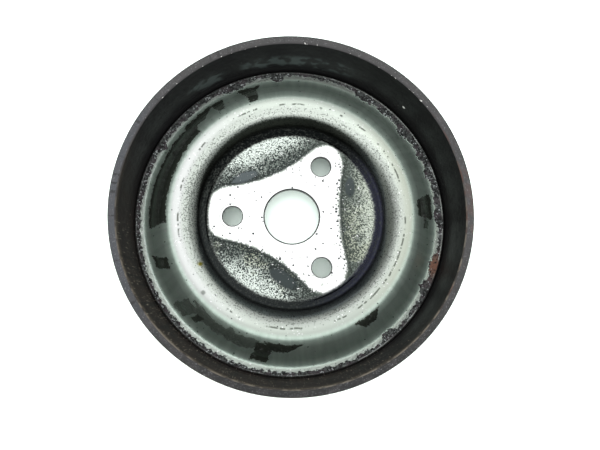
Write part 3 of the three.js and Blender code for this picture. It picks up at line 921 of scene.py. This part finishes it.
def dish_masks(dish):
    """Where the dish's finishes lie, as values over the vertices."""
    x, y, _ = coordinates(dish).T
    r = np.hypot(x, y)
    angle = np.degrees(np.arctan2(y, x))
    reach = pocket_reach(x, y)
    on_hub = 1 - smoothstep(HUB_R - 1.9 * MM, HUB_R - 0.9 * MM, r)
    in_pocket = smoothstep(-0.9 * MM, 1.0 * MM, reach)
    seat = inside_corner(-reach, HUB_R - 1.4 * MM - r, LOBE_CORNER)
    lobe = smoothstep(-1.0 * MM, 0.9 * MM, seat)
    give_mask(dish, "lobe", lobe)
    give_mask(dish, "pocket", (1 - lobe) * (1 - smoothstep(HUB_R - 1.8 * MM, HUB_R - 0.4 * MM, r)))
    give_mask(dish, "reach", np.clip(reach / POCKET_LENGTH, 0, 1))
    # where painted shade lies on each pocket's inner slope
    slope = (1 - smoothstep(0.3 * MM, 2.6 * MM, reach)) * (1 - smoothstep(29 * MM, 35 * MM, r))
    give_mask(dish, "slope", in_pocket * slope)
    near_edge = smoothstep(-3.4 * MM, 0, reach) * (0.12 + 0.8 * smoothstep(9 * MM, 15 * MM, x))
    give_mask(dish, "fringe", near_edge * on_hub)

    patch = np.zeros(len(x))
    for degrees, out, half_length, half_width in PATCHES:
        centre = math.radians(degrees)
        lie = math.radians(degrees + PATCH_LEAN)
        dx = x - out * MM * math.cos(centre)
        dy = y - out * MM * math.sin(centre)
        along = dx * math.cos(lie) + dy * math.sin(lie)
        across = dy * math.cos(lie) - dx * math.sin(lie)
        outwards = np.hypot(along / half_length, across / half_width) / MM
        patch = np.maximum(patch, 1 - smoothstep(0.4, 1.1, outwards))
    give_mask(dish, "patch", patch * in_pocket)

    inner = 1 - smoothstep(CREST_R - 4 * MM, CREST_R + 1.5 * MM, r)
    ledge = 0.35 * smoothstep(LEDGE_START - 1.5 * MM, LEDGE_START + 0.5 * MM, r)
    flat_hub = 1 - on_hub * (1 - in_pocket) * 0.95
    middle, spread = STIPPLED_STRETCH
    stippled = 1 + 0.5 * np.exp(-((turned_from(angle, middle) / spread) ** 2))
    grain = (inner * stippled + ledge) * flat_hub * (1 - patch)
    give_mask(dish, "grain", np.clip(grain, 0.03, 1.5))

    # where the dish is painted dark round the hub, darkest on the far side
    far = smoothstep(0, 30 * MM, y - 0.35 * x)
    near = smoothstep(0, 30 * MM, -y)
    dark_ring = smoothstep(HUB_R - (3.3 - 0.6 * far) * MM, HUB_R + (0.3 - 0.7 * far) * MM, r)
    dark_ring_end = HUB_R + (2.4 + 2.2 * np.abs(y) / r) * MM
    dark_ring_fade = (2.2 + 1.2 * near) * MM
    give_mask(dish, "dark_ring", dark_ring * (1 - smoothstep(dark_ring_end, dark_ring_end + dark_ring_fade, r)))
    scuff = np.zeros(len(x))
    for start, end in SCUFFS:
        away = np.abs(turned_from(angle, (start + end) / 2)) - (end - start) / 2
        scuff = np.maximum(scuff, 1 - smoothstep(-0.4, 0.5, away))
    give_mask(dish, "scuff", scuff)
    give_mask(dish, "stain", inside_stains(STAINS, angle, r / MM))
    give_mask(dish, "faint_stain", inside_stains(FAINT_STAINS, angle, r / MM))

    width = np.full(len(x), LEAST_RUST)
    for degrees, half, deep in BLOOMS:
        share = np.clip(1 - (turned_from(angle, degrees) / half) ** 2, 0, 1)
        width = np.maximum(width, deep * np.sqrt(share))
    give_mask(dish, "bloom", r / MM - (DISH_R / MM - width))
    middle, spread = COPPER_STRETCH
    copper = np.exp(-((turned_from(angle, middle) / spread) ** 2))
    give_mask(dish, "copper", copper * (r > LEDGE_START))
    yellow = np.hypot(x - YELLOW_SPECK[0], y - YELLOW_SPECK[1])
    give_mask(dish, "yellow", 1 - smoothstep(0.4 * MM, 1.5 * MM, yellow))
    blot = np.hypot(x - GREY_BLOT[0], y - GREY_BLOT[1])
    give_mask(dish, "blot", 1 - smoothstep(0.7 * MM, 1.2 * MM, blot))


def make_dish():
    front, back = dish_outlines()
    ledge_front = LEDGE_BACK + SHEET
    rim_edge = rounded([
        (LEDGE_START, LEDGE_BACK, 0),
        (DISH_R, LEDGE_BACK, DISH_EDGE),
        (DISH_R, ledge_front, DISH_EDGE),
        (LEDGE_START, ledge_front, 0),
    ])[1:-1]
    bore = [
        (BORE_R + HOLE_EDGE, HUB_Z),
        (BORE_R, HUB_Z - HOLE_EDGE),
        (BORE_R, HUB_Z - SHEET + HOLE_EDGE),
        (BORE_R + HOLE_EDGE, HUB_Z - SHEET),
    ]
    fine = filled_in([*rim_edge[-5:], *front, bore[0]], FINE_STEP, closed=False)
    coarse = filled_in([bore[3], *back, rim_edge[0]], COARSE_STEP, closed=False)
    outline = [*fine, *bore[:3], *coarse, *rim_edge[:5]]
    points = ring_coordinates(outline, TURNS)
    sink_pockets(points)
    roughen_ledge(points)
    dish = ring_object("dish", points)
    for x, y in bolt_places():
        cut(dish, spool("bolt_cutter", x, y, BOLT_HOLE_R))
    dish.data.materials.clear()
    dish.data.materials.append(dish_front())
    dish.data.materials.append(dish_back())
    for face in dish.data.polygons:
        face.material_index = 1 if face.normal.z < -0.02 else 0
    dish_masks(dish)
    smooth(dish, 32)
    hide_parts("hub_dish")
    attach(dish, "root")


def make_weld():
    """The weld: the same fillet as the part's, its free face rippled like a row of frozen drops."""
    centre = (LEDGE_START, LEDGE_BACK + SHEET + LEDGE_FILLET)
    back_round = LEDGE_FILLET + SHEET + WELD_GAP
    inner_r = WELD_R - WELD_LEG

    def slope_at(r):
        return math.degrees(math.asin((r - centre[0]) / back_round))

    top = round_stretch(centre, back_round, slope_at(inner_r), slope_at(WELD_R), -1)
    inner_z = top[0][1]
    shares = np.linspace(0, 1, WELD_FACE_STEPS + 1)[1:-1]
    face = []
    for t in shares:
        bulge = WELD_BELLY * math.sin(math.pi * t)
        face.append((inner_r + WELD_LEG * t - bulge, inner_z + (WELD_BACK - inner_z) * t - bulge))
    outline = [*face, (WELD_R, WELD_BACK), *top[::-1]]
    points = ring_coordinates(outline, WELD_TURNS)

    # each ripple is a drop, highest in its middle, and the face's own middle moves most
    phase = np.arange(WELD_TURNS) * WELD_RIPPLES / WELD_TURNS
    drop = np.abs((phase % 1) - 0.5) * 2
    wave = WELD_RIPPLE_HEIGHT * (1 - drop ** 2) - WELD_RIPPLE_DIP
    share = np.zeros(len(outline))
    share[: len(face)] = np.sin(np.pi * shares)
    out = wave[:, None] * share * 0.7
    r = np.hypot(points[..., 0], points[..., 1])
    points[..., :2] *= ((r + out) / r)[..., None]
    points[..., 2] += out
    weld = ring_object("weld", points)
    weld.data.materials.append(weld_metal())
    smooth(weld, 50)
    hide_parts("weld_bead")
    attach(weld, "root")


# ---------------------------------------------------------------- light, table and camera

def make_table():
    """The table, just below the pulley and wide enough that its edge stays out of view."""
    half = TABLE_HALF
    low = CAD_BOX[0].z - TABLE_DROP
    corners = [(-half, -half, low), (half, -half, low), (half, half, low), (-half, half, low)]
    mesh = bpy.data.meshes.new("table_top")
    mesh.from_pydata(corners, [], [(0, 1, 2, 3)])
    table = bpy.data.objects.new("table_top", mesh)
    bpy.context.scene.collection.objects.link(table)
    mesh.materials.append(table_top())


def make_light():
    """A soft ceiling that dims towards the horizon, with a brighter window to the far left of it."""
    world = bpy.data.worlds.new("soft_ceiling")
    bpy.context.scene.world = world
    world.use_nodes = True
    tree = world.node_tree
    background = tree.nodes["Background"]
    direction = tree.nodes.new("ShaderNodeTexCoord")

    def glow(towards, low, high, to_low, to_high):
        """Brightness that rises from to_low to to_high as the view turns towards one direction."""
        facing = tree.nodes.new("ShaderNodeVectorMath")
        facing.operation = "DOT_PRODUCT"
        facing.inputs[1].default_value = Vector(towards).normalized()
        tree.links.new(direction.outputs["Generated"], facing.inputs[0])
        rise = tree.nodes.new("ShaderNodeMapRange")
        rise.interpolation_type = "SMOOTHSTEP"
        for socket, value in zip(rise.inputs[1:5], (low, high, to_low, to_high)):
            socket.default_value = value
        tree.links.new(facing.outputs["Value"], rise.inputs[0])
        return rise.outputs[0]

    total = tree.nodes.new("ShaderNodeMath")
    tree.links.new(glow(*CEILING), total.inputs[0])
    tree.links.new(glow(*WINDOW), total.inputs[1])
    tree.links.new(total.outputs[0], background.inputs["Strength"])
    background.inputs["Color"].default_value = (1.0, 1.0, 1.0, 1.0)


def make_camera():
    """A camera almost straight above the pulley, tilted a little."""
    camera = bpy.data.cameras.new("camera")
    camera.sensor_width = SENSOR
    camera.lens = LENS
    made = bpy.data.objects.new("camera", camera)
    made.location = CAMERA_PLACE
    made.rotation_euler = [math.radians(a) for a in CAMERA_TURN]
    bpy.context.scene.collection.objects.link(made)
    bpy.context.scene.camera = made


bpy.context.scene.view_settings.view_transform = "Standard"
make_camera()
make_light()
make_table()
make_rim()
make_dish()
make_weld()

bpy.context.view_layer.update()
